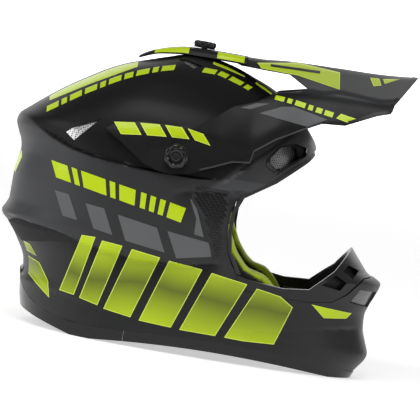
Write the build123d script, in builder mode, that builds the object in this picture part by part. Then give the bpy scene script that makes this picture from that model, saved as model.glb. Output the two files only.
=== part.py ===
from build123d import *

import math
import os

# Motocross helmet, full face, with a tilting peak, removable padding and a double D-ring chin strap.
# Frame: +X forward, +Y to the wearer's left, +Z up, millimetres. The helmet rests on its lower rim,
# z = 0 is that surface, and the origin is under the middle of its bounding box.

os.makedirs("parts", exist_ok=True)

# ---- driving dimensions -------------------------------------------------------------------------
SHELL_WALL = 4.0  # moulded outer shell
GAP = 0.4  # assembly gap between nested pieces
HEAD_PAD = 9.0  # thickness of the crown comfort pad
TRIM_WALL = 9.0  # depth of the soft rim under the shell edge
CHEEK_BASE = 11.0  # foam backing of each cheek pad
PEAK_WALL = 3.0  # moulded peak
REACH = 220.0  # half width of every sideways cut

PIVOT_X, PIVOT_Z = -25.5, 182.2  # axis of the two side screws
TILT = 6.0  # degrees that the peak tilts each way
PEAK_INNER_R = 97.5  # the tail slides on an arc about the side screws
SLOT_X = -21.0  # centre of the tail slot, and of the centre screw
SEAT_Y = 116.3  # outer face of the side screws' seats
SEAT_TOP = 276.5  # top of the centre screw's seat
SHAFT_R = 3.0
BORE_R = 3.05
HOLE_R = 3.4

# Horizontal sections of the outer shell: height, rear x, front x, half width, front squareness.
SHELL_LEVELS = (
    (-14, -144, 164, 91, 2.0),
    (24, -154, 182, 103, 2.0),
    (66, -160, 174, 111, 2.0),
    (91, -181, 183, 115.5, 2.0),
    (101, -183, 168, 117, 2.05),
    (150, -177.5, 126, 118, 2.3),
    (190, -184, 103, 110, 2.6),
    (225, -145, 90, 94, 2.4),
    (253, -99, 56, 67, 2.1),
    (271, -51, 15, 34, 2.0),
    (275, -34, -2, 18, 2.0),
)
SHELL_CENTRE_X, SHELL_CENTRE_Z = -45.0, 120.0

# Horizontal sections of the space for the head and, below z = 120, for the face and neck.
HEAD_LEVELS = (
    (-20, -108, 74, 60, 2.2),
    (90, -124, 84, 66, 2.2),
    (160, -140, 66, 78.5, 2.0),
    (190, -136, 52, 75, 2.0),
    (212, -119, 31, 61, 2.0),
    (226, -92, 2, 39, 2.0),
    (234, -58, -33, 12, 2.0),
)
HEAD_CENTRE_X, HEAD_CENTRE_Z = -42.0, 120.0

# Side outlines, as (x, z) points.
SHELL_RIM = ((-156, 50), (-151, 35), (-128, 19.5), (-84, 12.6), (-24, 16), (45, 18), (115, 15.7), (172, 6))
RIM_SOLE = ((-160, 17), (-132, 8.8), (-96, 0))
EYEPORT_TOP = ((47, 84), (36, 104), (33, 122), (33, 140), (39, 156), (66, 174), (92, 197), (101, 208))
EYEPORT_FOOT = ((47, 84), (51, 71), (87, 68), (118, 68), (140, 71), (153, 80), (166, 96))
MOUTH_TOP = ((47.6, 83.6), (58, 80.5), (92, 77.5), (116, 80), (137, 100), (150, 121))
PEAK_LOW = (
    (-94, 196), (-78, 186), (-53, 170), (-28, 165), (-12, 168), (8, 177), (26, 185), (42, 187),
    (44, 198), (62, 212), (86, 226), (101, 234), (122, 236), (150, 250), (162, 254), (164, 262),
)  # fmt: skip
PEAK_HIGH = ((63, 273), (84, 262), (56, 255), (39, 244), (17, 235), (3, 223), (-12, 213), (-35, 209), (-83, 204))

# Cross-sections of the peak: x, top z, foot z, half width at the foot, squareness.
PEAK_STATIONS = (
    (-104, 246, 150, 117, 2.2),
    (-65, 272, 150, 122, 2.1),
    (-25, 282.5, 150, 126, 2.0),
    (10, 283, 150, 121, 2.0),
    (35, 283, 160, 114, 2.0),
    (90, 284, 204, 99, 2.2),
    (140, 286, 234, 93, 2.4),
    (192, 293, 250, 86, 2.5),
)


# ---- helpers ------------------------------------------------------------------------------------
def egg_points(rear, front, half_width, squareness, centre):
    """Points round one horizontal section: half an ellipse behind the centre, a squarer one before it."""
    points = []
    for step in range(20):
        angle = math.radians(18 * step)
        power = 2 / squareness if math.cos(angle) > 0 else 0.92
        reach = (front - centre) if math.cos(angle) > 0 else (centre - rear)
        x = centre + math.copysign(abs(math.cos(angle)) ** power, math.cos(angle)) * reach
        y = math.copysign(abs(math.sin(angle)) ** power, math.sin(angle)) * half_width
        points.append((x, y))
    return points


def stacked(levels, centre_x, centre_z, inset):
    """A closed body lofted through horizontal sections, all drawn in by inset (out if negative)."""
    top = levels[-1][0] - centre_z
    with BuildPart() as body:
        for z, rear, front, half_width, squareness in levels:
            if half_width - inset < 4 or front - rear - 2 * inset < 8:
                continue
            middle = max(centre_x, rear + 0.35 * (front - rear))
            height = z if z < centre_z else centre_z + (z - centre_z) * (top - inset) / top
            with BuildSketch(Plane.XY.offset(height)):
                with BuildLine():
                    outline = egg_points(
                        rear + inset, front - inset, half_width - inset, squareness, middle
                    )
                    Spline(*outline, periodic=True)
                make_face()
        loft(ruled=True)
    return body.part


def shell_body(inset):
    return stacked(SHELL_LEVELS, SHELL_CENTRE_X, SHELL_CENTRE_Z, inset)


def head_body(grow):
    return stacked(HEAD_LEVELS, HEAD_CENTRE_X, HEAD_CENTRE_Z, -grow)


def side_face(points):
    """A filled side outline in the XZ plane."""
    with BuildSketch(Plane.XZ) as face:
        with BuildLine():
            Polyline(*points, close=True)
        make_face()
    return face.sketch


def side_prism(points, inner=0.0, outer=REACH, both=True):
    """A side outline carried sideways, from |y| = inner to |y| = outer: both sides, or the right alone."""
    with BuildPart() as prism:
        with BuildSketch(Plane.XZ.offset(inner)):
            with BuildLine():
                Polyline(*points, close=True)
            make_face()
        extrude(amount=outer - inner)
        if both:
            mirror(about=Plane.XZ)
    return prism.part


def curved_region(curve, corners):
    """A side region bounded by a smooth curve and then straight lines through the corners."""
    with BuildPart() as prism:
        with BuildSketch(Plane.XZ):
            with BuildLine():
                Spline(*curve)
                Polyline(curve[-1], *corners, curve[0])
            make_face()
        extrude(amount=REACH, both=True)
    return prism.part


def lower(points, drop):
    return tuple((x, z - drop) for x, z in points)


def save(solid, name):
    solid.label = name
    export_step(solid, f"parts/{name}.step")
    return solid


def save_pair(solid, name):
    """The right-hand piece as given, and its mirror image on the left."""
    save(solid, f"{name}_right")
    with BuildPart() as other:
        mirror(solid, about=Plane.XZ)
    save(other.part, f"{name}_left")


# ---- shared bodies ------------------------------------------------------------------------------
shell_outside = shell_body(0)
shell_inside = shell_body(SHELL_WALL)
liner_outside = shell_body(SHELL_WALL + GAP)
head_space = head_body(0)

EYEPORT = (*reversed(EYEPORT_TOP[1:]), *EYEPORT_FOOT, (230, 106), (230, 211))
BROW_DUCT = ((56, 193), (66, 207), (80, 211), (92, 208), (92, 201), (84, 194), (68, 180), (57, 186))
CROWN_SIDE_VENT = ((-131, 185), (-126, 190), (-101, 203), (-122, 179))
CROWN_TOP_VENT = ((-42, 269), (-34, 270), (-18, 266.5), (-26, 263))
CHIN_VENT = ((164, 86), (192, 84), (190, 66), (156, 73))


# ---- outer shell --------------------------------------------------------------------------------
with BuildPart() as outer_shell:
    add(shell_outside)
    add(shell_inside, mode=Mode.SUBTRACT)
    add(curved_region(SHELL_RIM, ((220, 6), (220, -60), (-220, -60), (-220, 50))), mode=Mode.SUBTRACT)
    add(side_prism(EYEPORT), mode=Mode.SUBTRACT)
    add(side_prism(BROW_DUCT, inner=30), mode=Mode.SUBTRACT)
    add(side_prism(CROWN_SIDE_VENT, inner=40), mode=Mode.SUBTRACT)
    add(side_prism(CROWN_TOP_VENT, inner=24), mode=Mode.SUBTRACT)
    add(side_prism(CHIN_VENT, inner=9), mode=Mode.SUBTRACT)
    # Seats for the screws, and the holes of their threaded inserts.
    for sign in (-1, 1):
        with Locations(Location((PIVOT_X, sign * 112.0, PIVOT_Z), (90, 0, 0))):
            Cylinder(radius=13, height=8.6)
            Cylinder(radius=4, height=30, mode=Mode.SUBTRACT)
    with Locations((SLOT_X, 0, SEAT_TOP - 1.75)):
        Cylinder(radius=9, height=3.5)
        Cylinder(radius=4, height=30, mode=Mode.SUBTRACT)
save(outer_shell.part, "outer_shell")

# ---- screws, inserts and washers ----------------------------------------------------------------


def insert_solid(base, length):
    """A blind nut, along the plane's normal from its flange."""
    with BuildPart() as nut:
        with BuildSketch(base):
            Circle(7)
            Circle(BORE_R, mode=Mode.SUBTRACT)
        extrude(amount=1.6)
        with BuildSketch(base):
            Circle(3.8)
            Circle(BORE_R, mode=Mode.SUBTRACT)
        extrude(amount=length)
    return nut.part


def washer_solid(base, radius, thickness):
    with BuildPart() as washer:
        with BuildSketch(base):
            Circle(radius)
            Circle(HOLE_R, mode=Mode.SUBTRACT)
        extrude(amount=thickness)
    return washer.part


def thumb_screw(base, radius, height, shaft):
    """A hand screw: a fluted knob with a grip bar across it, on a plain shaft."""
    with BuildPart() as screw:
        with BuildSketch(base):
            Circle(radius)
            with PolarLocations(radius + 1.2, 8):
                Circle(2.6, mode=Mode.SUBTRACT)
        extrude(amount=height * 0.6)
        chamfer(screw.faces().sort_by(SortBy.AREA)[-1].outer_wire().edges(), 0.5)
        with BuildSketch(base):
            SlotOverall(radius * 1.7, 5.0)
        extrude(amount=height)
        with BuildSketch(base):
            Circle(SHAFT_R)
        extrude(amount=-shaft)
    return screw.part


right_axis = Plane(origin=(PIVOT_X, 0, PIVOT_Z), x_dir=(1, 0, 0), z_dir=(0, -1, 0))
save_pair(insert_solid(right_axis.offset(103.4), 10.0), "peak_insert")
save_pair(washer_solid(right_axis.offset(SEAT_Y + 0.3), 11, 1.5), "peak_washer")
save_pair(thumb_screw(right_axis.offset(122.7), 12, 7.5, 16), "peak_screw")

centre_axis = Plane(origin=(SLOT_X, 0, 0))
save(insert_solid(centre_axis.offset(267.8), 8.4), "centre_insert")
save(washer_solid(centre_axis.offset(SEAT_TOP + 0.3), 7, 1.5), "centre_washer")
save(thumb_screw(centre_axis.offset(283.2), 11, 5.5, 12), "centre_screw")

# ---- impact liner, chin liner and comfort padding -----------------------------------------------
LINER_EDGE = (
    (-230, 50), (-122, 44), (-104, 102), (-20, 110), (10, 116), (20, 142), (56, 181), (80, 200), (94, 218),
    (160, 218), (160, 300), (-230, 300),
)  # fmt: skip
with BuildPart() as eps_crown_liner:
    add(liner_outside)
    add(head_body(HEAD_PAD + GAP), mode=Mode.SUBTRACT)
    add(side_prism(LINER_EDGE), mode=Mode.INTERSECT)
    add(side_prism(((48, 170), (48, 216), (130, 216), (130, 170)), inner=28), mode=Mode.SUBTRACT)
    for sign in (-1, 1):
        with Locations(Location((PIVOT_X, sign * 104.0, PIVOT_Z), (90, 0, 0))):
            Cylinder(radius=14, height=16, mode=Mode.SUBTRACT)
    with Locations((SLOT_X, 0, 268)):
        Cylinder(radius=10, height=14, mode=Mode.SUBTRACT)
save(eps_crown_liner.part, "eps_crown_liner")

with BuildPart() as eps_chin_liner:
    add(liner_outside)
    add(shell_body(24), mode=Mode.SUBTRACT)
    add(side_prism(((104, 22), (210, 22), (210, 64), (108, 64))), mode=Mode.INTERSECT)
save(eps_chin_liner.part, "eps_chin_liner")

PAD_EDGE = (
    (-220, 72), (-112, 76), (-92, 116), (-10, 118), (8, 130), (14, 156), (38, 176), (64, 196), (160, 200),
    (160, 300), (-220, 300),
)  # fmt: skip
with BuildPart() as crown_comfort_pad:
    add(head_body(HEAD_PAD))
    add(head_space, mode=Mode.SUBTRACT)
    add(side_prism(PAD_EDGE), mode=Mode.INTERSECT)
save(crown_comfort_pad.part, "crown_comfort_pad")

CHEEK_EDGE = (
    (-38, 100), (-30, 24), (84, 22), (96, 46), (94, 66), (78, 84), (58, 92), (46, 106), (38, 122), (31, 138),
    (24, 137), (13, 111), (-6, 106),
)  # fmt: skip
with BuildPart() as cheek_pad:
    add(shell_body(SHELL_WALL + CHEEK_BASE + 2 * GAP))
    add(head_space, mode=Mode.SUBTRACT)
    add(side_prism(CHEEK_EDGE, inner=42, both=False), mode=Mode.INTERSECT)
save_pair(cheek_pad.part, "cheek_pad")

BASE_EDGE = ((-34, 98), (-27, 27), (92, 26), (98, 46), (90, 60), (54, 62), (40, 84), (26, 108), (4, 104))
with BuildPart() as cheek_pad_base:
    add(liner_outside)
    add(shell_body(SHELL_WALL + CHEEK_BASE + GAP), mode=Mode.SUBTRACT)
    add(side_prism(BASE_EDGE, inner=42, both=False), mode=Mode.INTERSECT)
save_pair(cheek_pad_base.part, "cheek_pad_base")

# ---- soft rim: neck roll behind, rubber trim in front -------------------------------------------
ROLL_FRONT = -46.0
RIM_TOP = lower(SHELL_RIM, 0.3)


def rim_band(outer_inset, x_from, x_to):
    """The band between the shell's lower edge and the surface that the helmet stands on."""
    with BuildPart() as band:
        add(shell_body(outer_inset))
        add(shell_body(TRIM_WALL), mode=Mode.SUBTRACT)
        with BuildSketch(Plane.XZ):
            with BuildLine():
                Spline(*RIM_TOP)
                Polyline(RIM_TOP[-1], (215, 4), (215, 0), (148, 0))
                ThreePointArc((148, 0), (36, 7.5), (-78, 0))
                Polyline((-78, 0), *reversed(RIM_SOLE), (-215, 17), (-215, 50), RIM_TOP[0])
            make_face()
        extrude(amount=REACH, both=True, mode=Mode.INTERSECT)
        strip = ((x_from, -50), (x_to, -50), (x_to, 100), (x_from, 100))
        add(side_prism(strip), mode=Mode.INTERSECT)
    return band.part


save(rim_band(0.3, -230, ROLL_FRONT - 0.2), "neck_roll")
save(rim_band(0.9, ROLL_FRONT + 0.2, 230), "lower_edge_trim")

# ---- eyeport trim and mouth vent ----------------------------------------------------------------
GASKET_PATH = tuple((x + 0.3, z) for x, z in EYEPORT_TOP)
LIP_PATH = tuple((x + 3.7, z - 1.5) for x, z in EYEPORT_TOP[1:])
with BuildPart() as eyeport_gasket:
    add(shell_body(-1.0))
    add(shell_body(13), mode=Mode.SUBTRACT)
    add(side_prism((*GASKET_PATH, (160, 210), (160, 84))), mode=Mode.INTERSECT)
    add(side_prism(((52, 83), *LIP_PATH, (165, 206), (165, 83))), mode=Mode.SUBTRACT)
save(eyeport_gasket.part, "eyeport_gasket")

MOUTH_FOOT = ((51.4, 71.4), (87, 68.4), (118, 68.4), (139.8, 71.4), (152.6, 80.5), (165.4, 96.9))
MOUTH_EDGE = (*MOUTH_TOP, (196, 124), (196, 102.4), *reversed(MOUTH_FOOT))
with BuildPart() as mouth_vent_frame:
    add(shell_outside)
    add(shell_body(7), mode=Mode.SUBTRACT)
    add(side_prism(MOUTH_EDGE), mode=Mode.INTERSECT)
    for window in (
        ((127, 86), (139, 97), (150, 91), (145, 83)),
        ((145, 101), (149, 107), (160, 103), (155, 95)),
    ):
        add(side_prism(window, inner=14), mode=Mode.SUBTRACT)
save(mouth_vent_frame.part, "mouth_vent_frame")

with BuildPart() as mouth_vent_filter:
    add(shell_body(7.5))
    add(shell_body(12), mode=Mode.SUBTRACT)
    add(side_prism(((112, 72), (132, 94), (150, 114), (190, 114), (190, 72))), mode=Mode.INTERSECT)
save(mouth_vent_filter.part, "mouth_vent_filter")


# ---- vent meshes and ducts ----------------------------------------------------------------------
def shrink(points, share):
    """A side outline drawn in towards its middle."""
    mid_x = sum(x for x, z in points) / len(points)
    mid_z = sum(z for x, z in points) / len(points)
    return tuple((mid_x + (x - mid_x) * share, mid_z + (z - mid_z) * share) for x, z in points)


def vent_mesh(points, inner, depth, share):
    with BuildPart() as mesh:
        add(shell_body(depth))
        add(shell_body(depth + 1.0), mode=Mode.SUBTRACT)
        add(side_prism(shrink(points, share), inner=inner, both=False), mode=Mode.INTERSECT)
    return mesh.part


save_pair(vent_mesh(CROWN_SIDE_VENT, 42, 1.6, 0.97), "crown_side_mesh")
save_pair(vent_mesh(CROWN_TOP_VENT, 25, 1.6, 0.97), "crown_top_mesh")
save_pair(vent_mesh(CHIN_VENT, 10, 2.6, 0.96), "chin_vent_mesh")
save_pair(vent_mesh(BROW_DUCT, 34, 9.0, 0.80), "brow_vent_mesh")

with BuildPart() as brow_vent_duct:
    add(shell_body(0.4))
    add(shell_body(15), mode=Mode.SUBTRACT)
    add(side_prism(shrink(BROW_DUCT, 0.97), inner=31, both=False), mode=Mode.INTERSECT)
    add(side_prism(shrink(BROW_DUCT, 0.82), inner=33, both=False), mode=Mode.SUBTRACT)
save_pair(brow_vent_duct.part, "brow_vent_duct")

GRIP_EDGE = ((-9, 160), (27, 158), (31, 142), (30, 123), (33, 95), (25, 91), (16, 112), (6, 132), (-4, 144))
with BuildPart() as side_grip_panel:
    add(shell_body(-1.4))
    add(shell_body(-0.2), mode=Mode.SUBTRACT)
    add(side_prism(GRIP_EDGE, inner=40, both=False), mode=Mode.INTERSECT)
save_pair(side_grip_panel.part, "side_grip_panel")

# ---- peak ---------------------------------------------------------------------------------------
def arch(inset):
    """The peak's full arched body, before its outline is cut."""
    with BuildPart() as body:
        for x, top, foot, half_width, squareness in PEAK_STATIONS:
            height = top - inset - foot
            rise = []
            for step in range(11):
                angle = math.radians(18 * step)
                y = -math.copysign(abs(math.cos(angle)) ** (2 / squareness), math.cos(angle))
                z = math.sin(angle) ** (2 / squareness)
                rise.append((y * (half_width - inset), foot + z * height))
            with BuildSketch(Plane.YZ.offset(x)):
                with BuildLine():
                    Spline(*rise)
                    Line(rise[-1], rise[0])
                make_face()
        loft(ruled=True)
    return body.part


def tail_arc(radius, x):
    """A point of the sliding tail, on an arc about the side screws."""
    return (x, PIVOT_Z + math.sqrt(radius**2 - (x - PIVOT_X) ** 2))


with BuildPart() as peak:
    add(arch(0))
    add(arch(PEAK_WALL), mode=Mode.SUBTRACT)
    add(side_prism((*PEAK_LOW, (184, 291.5), (187, 302), (52, 302), *PEAK_HIGH)), mode=Mode.INTERSECT)
    # Pods at the side screws.
    for sign in (-1, 1):
        with Locations(Location((PIVOT_X, sign * 108.3, PIVOT_Z), (90, 0, 0))):
            Cylinder(radius=14.5, height=20, mode=Mode.SUBTRACT)
        with Locations(Location((PIVOT_X, sign * 120.35, PIVOT_Z), (90, 0, 0))):
            Cylinder(radius=17, height=4.1)
            Hole(radius=HOLE_R, depth=20)
        with Locations(Location((PIVOT_X, sign * 132.4, PIVOT_Z), (90, 0, 0))):
            Cylinder(radius=13.5, height=20, mode=Mode.SUBTRACT)
    # Tail: a flat strap on an arc about the screws, running forward into the deck.
    outer = PEAK_INNER_R + PEAK_WALL
    with BuildSketch(Plane.XZ):
        with BuildLine():
            ThreePointArc(tail_arc(outer, -78), tail_arc(outer, -30), tail_arc(outer, 0))
            Polyline(tail_arc(outer, 0), (40, 281), (92, 283.6), (92, 281), (44, 277.6), tail_arc(PEAK_INNER_R, 2))
            ThreePointArc(tail_arc(PEAK_INNER_R, 2), tail_arc(PEAK_INNER_R, -30), tail_arc(PEAK_INNER_R, -78))
            Line(tail_arc(PEAK_INNER_R, -78), tail_arc(outer, -78))
        make_face()
    extrude(amount=22, both=True)
    slot_travel = 2 * math.radians(TILT) * (PEAK_INNER_R + 1)
    with BuildSketch(Plane.XY.offset(290)):
        with Locations((SLOT_X, 0)):
            SlotOverall(slot_travel + 2 * HOLE_R + 2, 2 * HOLE_R)
    extrude(amount=-18, mode=Mode.SUBTRACT)
save(peak.part, "peak")

# ---- chin strap ---------------------------------------------------------------------------------
STRAP_X, STRAP_TOP = -60.0, 90.0
STRAP_HALF = 12.5
STRAP_THICK = 2.0


def strap_plate(sign):
    """A steel anchor plate, hung on its rivet inside the shell."""
    with BuildPart() as plate:
        with BuildSketch(Plane.XZ.offset(-sign * 99.0)):
            with Locations((STRAP_X, STRAP_TOP)):
                Circle(11)
                Circle(3.3, mode=Mode.SUBTRACT)
            with Locations((STRAP_X, STRAP_TOP - 14)):
                Rectangle(2 * STRAP_HALF + 6, 16)
            with Locations((STRAP_X, STRAP_TOP - 16)):
                Rectangle(2 * STRAP_HALF + 1, 5, mode=Mode.SUBTRACT)
        extrude(amount=sign * 1.5)
    return plate.part


def strap_rivet(sign):
    """A rivet through the shell wall, with a head inside that holds the anchor plate."""
    axis = Plane(origin=(STRAP_X, sign * 94.8, STRAP_TOP), x_dir=(1, 0, 0), z_dir=(0, sign, 0))
    with BuildPart() as rivet:
        with BuildSketch(axis):
            Circle(5.5)
        extrude(amount=2)
        with BuildSketch(axis):
            Circle(3.2)
        extrude(amount=15)
    return rivet.part


save(strap_plate(-1), "strap_plate_right")
save(strap_plate(1), "strap_plate_left")
save(strap_rivet(-1), "strap_rivet_right")
save(strap_rivet(1), "strap_rivet_left")


def webbing(path_points, radii, name):
    """Flat strap, its section carried along a path in the YZ plane."""
    with BuildPart() as strap:
        with BuildSketch(Plane.YZ.offset(STRAP_X - STRAP_HALF)) as ribbon:
            with BuildLine():
                FilletPolyline(*path_points, radius=radii)
            trace(line_width=STRAP_THICK)
        extrude(amount=2 * STRAP_HALF)
    return save(strap.part, name)


# The long strap falls from the right-hand plate, and its free end lies across the floor of the opening.
webbing(((-100.4, 74.0), (-94.6, 74.0), (-78, 2.4), (34, 2.4)), (2.0, 9.0), "chin_strap_long")

# The short strap ends in a loop that holds both D-rings.
RING_WIRE = 1.6
RING_Y, RING_Z = 80.0, 40.0
LOOP_HALF = 2.2  # distance of each ring's bar from the loop's middle
with BuildPart() as chin_strap_short:
    with BuildSketch(Plane.YZ.offset(STRAP_X - STRAP_HALF)):
        with BuildLine():
            FilletPolyline((100.4, 74.0), (94.6, 74.0), (82, 48), (RING_Y, RING_Z + 3.5), radius=(2.0, 9.0))
        trace(line_width=STRAP_THICK)
        with Locations((RING_Y, RING_Z)):
            SlotOverall(13.0, 8.0)
            SlotOverall(9.4, 4.4, mode=Mode.SUBTRACT)
    extrude(amount=2 * STRAP_HALF)
save(chin_strap_short.part, "chin_strap_short")


def d_ring(y, name):
    """A steel D: a straight bar through the strap's loop and a half circle hanging under it."""
    half = STRAP_HALF + 2.0
    with BuildPart() as ring:
        with BuildLine(Plane.XZ.offset(-y)) as path:
            left, right = (STRAP_X - half, RING_Z), (STRAP_X + half, RING_Z)
            Line(left, right)
            Line(right, (STRAP_X + half, RING_Z - 12))
            ThreePointArc(
                (STRAP_X + half, RING_Z - 12), (STRAP_X, RING_Z - 12 - half), (STRAP_X - half, RING_Z - 12)
            )
            Line((STRAP_X - half, RING_Z - 12), left)
        with BuildSketch(Plane(origin=(STRAP_X, y, RING_Z), z_dir=(1, 0, 0))):
            Circle(RING_WIRE)
        sweep(path=path.wires()[0], transition=Transition.ROUND)
    return save(ring.part, name)


d_ring(RING_Y - LOOP_HALF, "d_ring_inner")
d_ring(RING_Y + LOOP_HALF, "d_ring_outer")

with BuildPart() as strap_snap:
    with BuildSketch(Plane.XY.offset(3.5)):
        with Locations((STRAP_X, 24)):
            Circle(6)
    extrude(amount=2.2)
    chamfer(strap_snap.faces().sort_by(Axis.Z)[-1].edges(), 0.6)
save(strap_snap.part, "strap_snap")
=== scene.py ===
"""Looks of the motocross helmet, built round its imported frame.

Metres, +X forward, +Y to the wearer's left, +Z up. Outlines and sections are written in millimetres and
scaled as each mesh is made. An outline is a tuple of (x, z) points seen from the side.
"""

import math

import bmesh
import bpy
import numpy as np
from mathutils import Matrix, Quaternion, Vector


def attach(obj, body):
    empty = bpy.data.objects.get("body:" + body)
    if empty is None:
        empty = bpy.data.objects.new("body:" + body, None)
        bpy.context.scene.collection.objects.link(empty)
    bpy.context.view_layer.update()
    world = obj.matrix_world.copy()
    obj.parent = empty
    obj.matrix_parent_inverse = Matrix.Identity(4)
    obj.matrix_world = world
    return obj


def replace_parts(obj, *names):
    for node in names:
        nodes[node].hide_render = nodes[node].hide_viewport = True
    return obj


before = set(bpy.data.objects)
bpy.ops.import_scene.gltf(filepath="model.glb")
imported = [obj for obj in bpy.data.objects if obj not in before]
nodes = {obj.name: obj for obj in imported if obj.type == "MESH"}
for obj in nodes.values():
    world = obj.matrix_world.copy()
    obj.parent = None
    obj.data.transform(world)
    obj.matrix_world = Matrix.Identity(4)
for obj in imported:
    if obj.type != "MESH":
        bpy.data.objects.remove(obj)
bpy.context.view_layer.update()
scene = bpy.context.scene
MM = 0.001
SIDES = ("right", "left")

# ---- driving sizes, in millimetres ---------------------------------------------------------------
SHELL_WALL = 3.4
PEAK_WALL = 2.6
STRUT_WALL = 2.4
TAIL_WALL = 2.2
DECAL_DEPTH = 0.5  # how far a decal's underside lies below the skin
MARK_WALL = 0.5  # whole thickness of the tail's marks
PIVOT_X, PIVOT_Z = -25.5, 182.2  # the side screws' axis
SCREW_SEAT_Y = 122.7
CENTRE_X, CENTRE_SEAT_Z = -21, 283.2
STRAP_X = -60
BEYOND = 150  # past either side of the helmet

# ---- shell form, by height: reach to the rear and front, half width, and how square the front is --------
REAR = (
    (-8, -148), (0, -149), (12, -151), (20, -154), (34, -155.6), (40, -157), (48, -154.5), (57, -155.5),
    (79, -167), (90.5, -175.5), (97, -182.5), (101, -183.6), (105, -181.5), (113.6, -178.5), (134, -178.5),
    (146, -177.5), (160, -175.5), (168, -176.8), (177, -181), (186, -184), (191, -183), (202, -172),
    (214, -157.6), (225, -143.5), (238, -124), (248.5, -107), (256, -92), (264, -69), (270, -51), (274, -38),
    (276.5, -18),
)
FRONT = (
    (-8, 164), (0, 168), (6.4, 172), (24, 182), (36, 178), (47.5, 174), (60, 173), (70, 175.5), (80, 179.5),
    (92, 183), (100, 171), (112, 158.5), (120, 151), (134, 138), (160, 118), (175, 109), (191, 103.5),
    (209, 100), (225, 89), (238, 76), (248, 63), (256, 51), (264, 31), (270, 14), (274, -2), (276.5, -18),
)
WIDTH = (
    (-8, 94), (0, 96), (24, 103), (48, 107.5), (66, 110.5), (80, 113), (93, 115.5), (101, 116.6), (134, 118),
    (160, 117.6), (175, 114.6), (190, 109.6), (209, 102.5), (225, 94), (238, 83), (253, 67), (264, 49),
    (271, 33), (275, 16), (276.5, 0.6),
)
SQUARE = ((-8, 2.0), (100, 2.05), (150, 2.3), (190, 2.6), (225, 2.4), (253, 2.1), (277, 2.0))


def smooth(table, at):
    """A monotone cubic through a table of (position, value) rows."""
    xs, ys = np.array(table, float).T
    gap = np.diff(xs)
    rise = np.diff(ys) / gap
    slope = np.zeros_like(ys)
    a, b = 2 * gap[1:] + gap[:-1], gap[1:] + 2 * gap[:-1]
    turning = rise[1:] * rise[:-1] <= 0
    first, second = np.where(turning, 1.0, rise[:-1]), np.where(turning, 1.0, rise[1:])
    slope[1:-1] = np.where(turning, 0.0, (a + b) / (a / first + b / second))
    slope[0], slope[-1] = rise[0], rise[-1]
    at = np.clip(at, xs[0], xs[-1])
    i = np.clip(np.searchsorted(xs, at) - 1, 0, len(gap) - 1)
    t = (at - xs[i]) / gap[i]
    return (
        ys[i] * (1 + 2 * t) * (1 - t) ** 2
        + slope[i] * gap[i] * t * (1 - t) ** 2
        + ys[i + 1] * t * t * (3 - 2 * t)
        + slope[i + 1] * gap[i] * t * t * (t - 1)
    )


def through(table, at):
    """Straight-line interpolation through a table of (position, value) rows."""
    return np.interp(at, *np.array(table, float).T)


def ease(value, low, high):
    """A smooth step from 0 at low to 1 at high."""
    t = np.clip((value - low) / (high - low), 0, 1)
    return t * t * (3 - 2 * t)


def crease(x, z, line, depth, fade, below=True, taper=14):
    """How far the skin steps in beside a line of (x, z) points, dying away over fade millimetres."""
    start, end = line[0][0], line[-1][0]
    offset = through(line, x) - z
    if not below:
        offset = -offset
    ends = ease(x, start, start + taper) * (1 - ease(x, end - taper, end))
    return depth * ends * ease(offset, -1.5, 1.5) * np.exp(-np.maximum(offset, 0) / fade)


SCALLOP_LOW = (
    (-172, 192), (-166, 189), (-146, 178.5), (-124.5, 171), (-100, 167), (-56, 164), (10, 165), (30, 170),
)  # fmt: skip
SCALLOP_HIGH = ((-172, 193), (-162, 191), (-123, 207), (-81, 218), (-30, 214), (30, 200))
BODY_CREASE = ((-180, 99), (-160, 96), (-128, 93.5), (-88, 86), (-48, 81), (0, 84), (36, 92))
BROW_CREASE = ((10, 156), (28, 171), (47, 191), (66, 209), (84, 226))
TEMPLE_CREASE = ((-24, 148), (-11, 152), (20, 157), (50, 163))
CHIN_CREASE = ((60, 34), (100, 38), (140, 46), (176, 50))
LOWER_CREASE = ((-150, 52), (-120, 37), (-60, 28), (20, 30), (70, 32), (110, 29), (150, 22))

CREASES = (  # line, depth, how far it takes to die away, whether it lies below the line
    (BODY_CREASE, 4.2, 20, True),
    (BROW_CREASE, 2.6, 22, False),
    (TEMPLE_CREASE, 3.0, 12, True),
    (CHIN_CREASE, 1.8, 14, True),
    (LOWER_CREASE, 1.3, 9, True),
)
SCOOP_DEPTH = 5.2


def relief(x, y, z):
    """The skin's moulded relief, inwards, in millimetres."""
    low, high = through(SCALLOP_LOW, x), through(SCALLOP_HIGH, x)
    share = np.clip((z - low) / np.maximum(high - low, 1), 0, 1)
    along = ease(x, -170, -138) * (1 - ease(x, -10, 28))
    scoop = SCOOP_DEPTH * along * ease(share, 0, 0.07) * (1 - share) ** 1.4
    side = ease(np.abs(y), 20, 45)
    total = scoop * side
    for line, depth, fade, below in CREASES:
        total += crease(x, z, line, depth, fade, below) * side
    return total


AROUND = 320
DOME_FOOT, DOME_TOP = 246, 276.5
DOME = DOME_FOOT + (DOME_TOP - DOME_FOOT) * np.sin(np.linspace(0, math.pi / 2, 36))[1:]
LEVELS = np.concatenate([np.linspace(-8, DOME_FOOT, 150), DOME])


def shell_grid():
    """Points of the shell's smooth outer skin, one row of them per level, before its relief."""
    z = LEVELS[:, None] + 0 * np.arange(AROUND)[None, :]
    angle = np.linspace(0, 2 * math.pi, AROUND, endpoint=False)[None, :] + 0 * z
    rear, front, half, square = (smooth(t, z) for t in (REAR, FRONT, WIDTH, SQUARE))
    middle = np.maximum(-45.0, rear + 0.35 * (front - rear))
    c, s = np.cos(angle), np.sin(angle)
    power = np.where(c > 0, 2 / square, 0.92)
    x = middle + np.sign(c) * np.abs(c) ** power * np.where(c > 0, front - middle, middle - rear)
    y = np.sign(s) * np.abs(s) ** power * half
    return np.stack([x, y, z], -1)


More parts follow.
